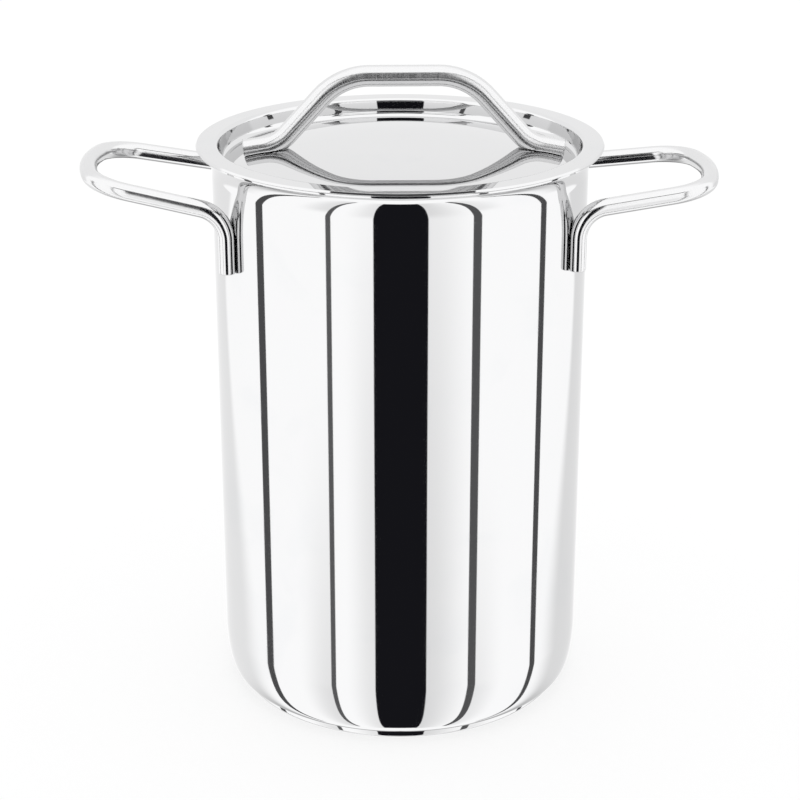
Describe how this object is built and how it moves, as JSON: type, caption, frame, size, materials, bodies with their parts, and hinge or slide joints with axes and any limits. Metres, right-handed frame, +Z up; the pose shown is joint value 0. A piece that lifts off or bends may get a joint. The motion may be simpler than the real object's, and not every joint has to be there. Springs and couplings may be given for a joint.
{
  "type": "asparagus pot",
  "caption": "Tall narrow polished steel pot with a sunk lid, bent rod handles, a capsule base and a lift-out wire basket that holds spears upright for steaming.",
  "frame": {"origin": "middle of the base's underside, on the pot's axis", "axes": "+Z up along the pot's axis, +X towards the right-hand side handle, +Y away from the viewer of the picture"},
  "size_m": [0.2746, 0.1748, 0.2823],
  "materials": {
    "polished_steel": "mirror-polished stainless steel",
    "base_aluminium": "rolled aluminium, hidden in the capsule",
    "basket_wire": "electropolished stainless steel wire"
  },
  "bodies": {
    "pot": {"pot_shell": "polished_steel", "base_capsule": "polished_steel", "base_core_disc": "base_aluminium", "left_handle": "polished_steel", "right_handle": "polished_steel"},
    "basket": {"basket_bottom_ring": "basket_wire", "basket_middle_ring_1": "basket_wire", "basket_middle_ring_2": "basket_wire", "basket_top_ring": "basket_wire", "basket_upright_1": "basket_wire", "basket_leg_2": "basket_wire", "basket_upright_3": "basket_wire", "basket_upright_4": "basket_wire", "basket_leg_5": "basket_wire", "basket_upright_6": "basket_wire", "basket_upright_7": "basket_wire", "basket_leg_8": "basket_wire", "basket_upright_9": "basket_wire", "basket_upright_10": "basket_wire", "basket_leg_11": "basket_wire", "basket_upright_12": "basket_wire", "basket_floor_wire_1": "basket_wire", "basket_floor_wire_2": "basket_wire", "basket_floor_wire_3": "basket_wire", "basket_floor_wire_4": "basket_wire", "basket_floor_wire_5": "basket_wire", "basket_floor_wire_6": "basket_wire", "basket_floor_wire_7": "basket_wire", "basket_floor_tie": "basket_wire", "left_loop_sleeve_front": "basket_wire", "left_loop_sleeve_back": "basket_wire", "right_loop_sleeve_front": "basket_wire", "right_loop_sleeve_back": "basket_wire"},
    "left_loop": {"left_loop": "basket_wire"},
    "right_loop": {"right_loop": "basket_wire"},
    "lid": {"lid_pan": "polished_steel", "lid_handle": "polished_steel"}
  },
  "joints": [
    {"name": "basket_lift", "type": "slide", "parent": "pot", "child": "basket", "axis": [0, 0, 1], "range_m": [0, 0.26]},
    {"name": "lid_lift", "type": "slide", "parent": "basket", "child": "lid", "axis": [0, 0, 1], "range_m": [0, 0.15]},
    {"name": "left_loop_fold", "type": "hinge", "parent": "basket", "child": "left_loop", "pos_m": [-0.06342, 0, 0.1951], "axis": [0, -1, 0], "range_deg": [0, 180]},
    {"name": "right_loop_fold", "type": "hinge", "parent": "basket", "child": "right_loop", "pos_m": [0.06342, 0, 0.1951], "axis": [0, 1, 0], "range_deg": [0, 180]}
  ]
}
